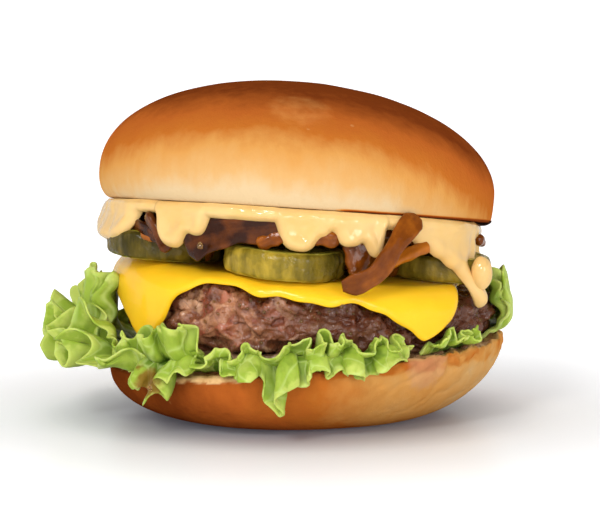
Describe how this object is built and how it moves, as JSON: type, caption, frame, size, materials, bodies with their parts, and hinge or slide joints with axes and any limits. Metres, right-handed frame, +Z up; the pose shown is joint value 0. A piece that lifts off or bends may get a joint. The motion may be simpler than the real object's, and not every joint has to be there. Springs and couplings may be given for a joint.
{
  "type": "cheeseburger",
  "caption": "Cheeseburger in a toasted glossy bun with a beef patty, melted cheese, pickle slices, fried onions, sauce and frilly lettuce.",
  "frame": {"origin": "on the lower bun's flat underside, under the middle of the upper bun", "axes": "+Z up, -Y the side where the long onion strip hangs, +X to that side's right"},
  "size_m": [0.1336, 0.1314, 0.0931],
  "materials": {
    "crust": "glossy baked crust, brown above and cream below",
    "meat": "moist craggy minced beef",
    "cheese": "satin melted cheese",
    "pickle": "wet",
    "onion": "glossy and browned",
    "sauce": "glossy and creamy",
    "lettuce": "satin leaf"
  },
  "bodies": {
    "root": {"heel_bun": "crust", "lettuce_left_upper": "lettuce", "lettuce_left_middle": "lettuce", "lettuce_left_lower": "lettuce", "lettuce_left_front": "lettuce", "lettuce_front": "lettuce", "lettuce_right_front": "lettuce", "lettuce_right": "lettuce", "lettuce_back": "lettuce", "patty": "meat", "cheese_slice": "cheese", "pickle_left": "pickle", "pickle_middle": "pickle", "pickle_right": "pickle", "pickle_back_left": "pickle", "pickle_back_right": "pickle", "onions": "onion", "onion_long_strip": "onion", "sauce": "sauce", "crown_bun": "crust"}
  },
  "joints": []
}
